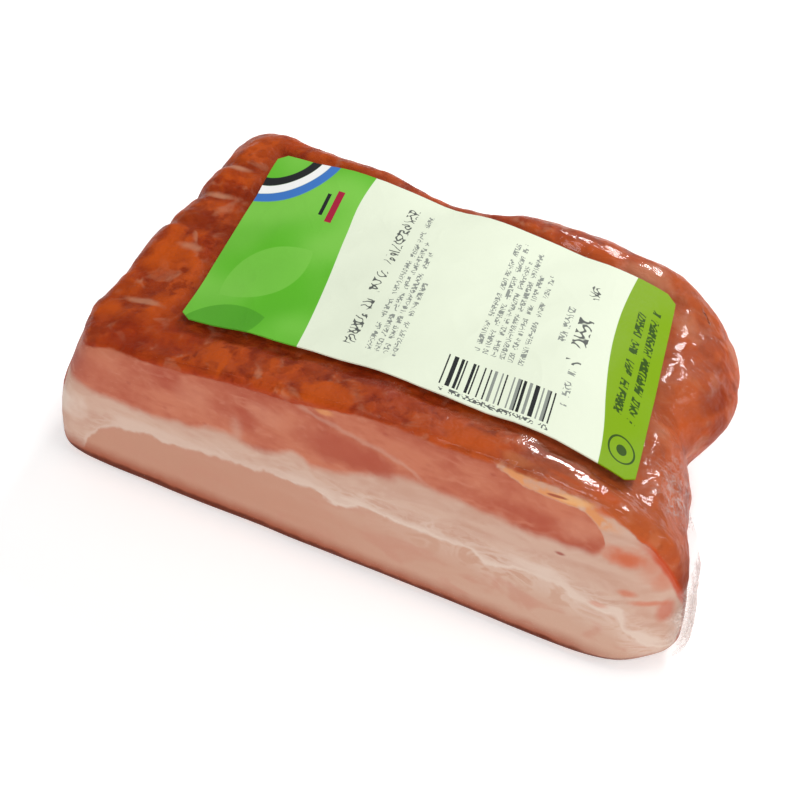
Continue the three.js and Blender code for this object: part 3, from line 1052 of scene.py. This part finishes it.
def wavyEdge(net, across, edge):
    # Where a field's border runs, from its places across the label.
    deep, wide = 60.0, 100.0
    share = net.timesPlus(across, 1 / deep, 0.5)
    places = [(v / deep + 0.5, u / wide + 0.5) for v, u in labelMotifs[edge]]
    return net.timesPlus(curveThrough(net, share, places, "AUTO"), wide, -0.5 * wide)


def leftField(net, point, along, across):
    # A soft green ground with two broad leaves, half rings at its foot and two short bars.
    fade = net.rise(net.clouds(point, 26, detail=1), 0.35, 0.65)
    field = net.blend(fade, labelColours["green"], labelColours["greenLight"])
    for leaf in labelMotifs["leaves"]:
        first = ovalMask(net, point, leaf["centres"][0], leaf["half"])
        second = ovalMask(net, point, leaf["centres"][1], leaf["half"])
        share = net.times(net.times(first, second), 0.7)
        field = net.blend(share, field, labelColours[leaf["ink"]])
    for radius, width, ink in labelMotifs["arcs"]:
        ring = ringMask(net, point, labelMotifs["arcCentre"], (radius, radius), width)
        field = net.blend(ring, field, labelColours[ink])
    for bar in labelMotifs["bars"]:
        mask = blockMask(net, along, across, bar["centre"], bar["half"])
        field = net.blend(mask, field, labelColours[bar["ink"]])
    return field


def printedColour(net, point, along, across):
    leftSide = net.minus(wavyEdge(net, across, "leftEdge"), along)
    rightSide = net.minus(along, wavyEdge(net, across, "rightEdge"))
    field = leftField(net, point, along, across)
    colour = net.blend(net.rise(leftSide, -0.06, 0.06), labelColours["cream"], field)
    colour = net.blend(net.rise(rightSide, -0.06, 0.06), colour, labelColours["lime"])
    ring = labelMotifs["ring"]
    mask = ringMask(net, point, ring["centre"], ring["half"], ring["width"])
    mask = net.calc("MAXIMUM", mask, ovalMask(net, point, ring["centre"], ring["dot"]))
    colour = net.blend(mask, colour, labelColours["limeInk"])
    turned = net.put("ShaderNodeCombineXYZ", {0: across, 1: along}).outputs[0]
    ways = {"along": point, "across": turned}
    for index, (start, length, thickness, pitch, stroke, ink, way) in enumerate(printRows):
        shape = {"length": length, "thickness": thickness, "pitch": pitch, "stroke": stroke}
        place = {"point": ways[way], "start": (*start, 0)}
        mask = net.group(printRow, seed=seedStep * index, **place, **shape)["mask"]
        colour = net.blend(mask, colour, labelColours[ink])

    # A plain block of uneven stripes.
    stripes = labelMotifs["stripes"]
    column = net.calc("FLOOR", net.times(along, stripes["perMillimetre"]))
    chance = net.put("ShaderNodeTexWhiteNoise", {"W": column}, noise_dimensions="1D").outputs["Value"]
    bars = net.calc("GREATER_THAN", chance, 0.42)
    gaps = net.calc("GREATER_THAN", net.calc("MODULO", column, 4.0), 0.5)
    block = blockMask(net, along, across, stripes["centre"], stripes["half"])
    bars = net.times(bars, gaps, block)
    column = net.calc("FLOOR", net.calc("DIVIDE", column, 5.0))
    chance = net.put("ShaderNodeTexWhiteNoise", {"W": column}, noise_dimensions="1D").outputs["Value"]
    dark = net.calc("GREATER_THAN", chance, 0.5)
    ink = net.blend(dark, labelColours["paleInk"], labelColours["charcoal"])
    return net.blend(bars, colour, ink)


def makeLabelMaterial():
    material, net, surface = newMaterial("printedPaper")
    place = net.put("ShaderNodeUVMap", uv_map="print").outputs[0]
    length = labelSettings["length"]
    point = net.scaled(net.vector("SUBTRACT", place, (0.5, 0.5, 0.0)), length)
    flat = net.parts(point)
    colour = printedColour(net, point, flat[0], flat[1])
    paper = net.group(fineGrain, point=point, scale=1.4)["height"]
    dents = net.group(crumple, point=point, scale=0.05, sharpness=3.0)["height"]
    relief = net.timesPlus(dents, 0.6, net.times(paper, 0.12))
    normal = net.bump(relief, labelSettings["bump"], 0.6)
    inputs = {"Base Color": colour, "Normal": normal, "Specular IOR Level": labelSettings["specular"]}
    inputs["Roughness"] = net.rise(paper, 0.3, 0.9, 0.5, 0.62)
    net.join(surface, net.put("ShaderNodeBsdfPrincipled", inputs).outputs[0])
    return material


label = makeLabel(labelSettings)
label.data.materials.append(makeLabelMaterial())
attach(label, "root")
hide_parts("label")
print("label made:", len(label.data.polygons), "faces")


# The studio.
studioSettings = {
    "floorSize": 8.0,
    "floorColour": screenColour(253, 253, 253),
    "floorGlow": 0.35,
    "floorSpecular": 0.2,
    "world": 0.3,
    "lamps": [
        {"name": "overhead", "place": (110, 10, 590), "size": 150, "power": 0.35},
        {"name": "rear", "place": (58, 470, 400), "size": 170, "power": 1.8},
        {"name": "front", "place": (350, -1500, 950), "size": 1500, "power": 17.0},
        {"name": "right", "place": (620, 60, 380), "size": 200, "power": 0.65},
    ],
}


def makeFloorMaterial(settings):
    material, net, surface = newMaterial("paleTable")
    point = objectPoint(net)
    speckle = net.group(fineGrain, point=point, scale=0.2)["height"]
    inputs = {"Base Color": settings["floorColour"], "Specular IOR Level": settings["floorSpecular"]}
    inputs["Roughness"] = net.rise(speckle, 0.3, 0.9, 0.6, 0.7)
    inputs["Emission Color"] = settings["floorColour"]
    inputs["Emission Strength"] = settings["floorGlow"]
    net.join(surface, net.put("ShaderNodeBsdfPrincipled", inputs).outputs[0])
    return material


def makeStudio(settings):
    bpy.ops.mesh.primitive_plane_add(size=settings["floorSize"])
    floor = bpy.context.object
    floor.name = "floor"
    floor.data.materials.append(makeFloorMaterial(settings))
    for lamp in settings["lamps"]:
        place = Vector(lamp["place"]) * millimetre
        bpy.ops.object.light_add(type="AREA", location=place)
        light = bpy.context.object
        light.name = lamp["name"]
        light.rotation_euler = (-place).to_track_quat("-Z", "Y").to_euler()
        light.data.shape = "SQUARE"
        light.data.size = lamp["size"] * millimetre
        light.data.energy = lamp["power"]
    world = bpy.data.worlds.new("studio")
    world.use_nodes = True
    background = world.node_tree.nodes["Background"]
    background.inputs["Color"].default_value = (1.0, 1.0, 1.0, 1.0)
    background.inputs["Strength"].default_value = settings["world"]
    scene.world = world
    scene.view_settings.view_transform = "Standard"


makeStudio(studioSettings)
print("studio lit")
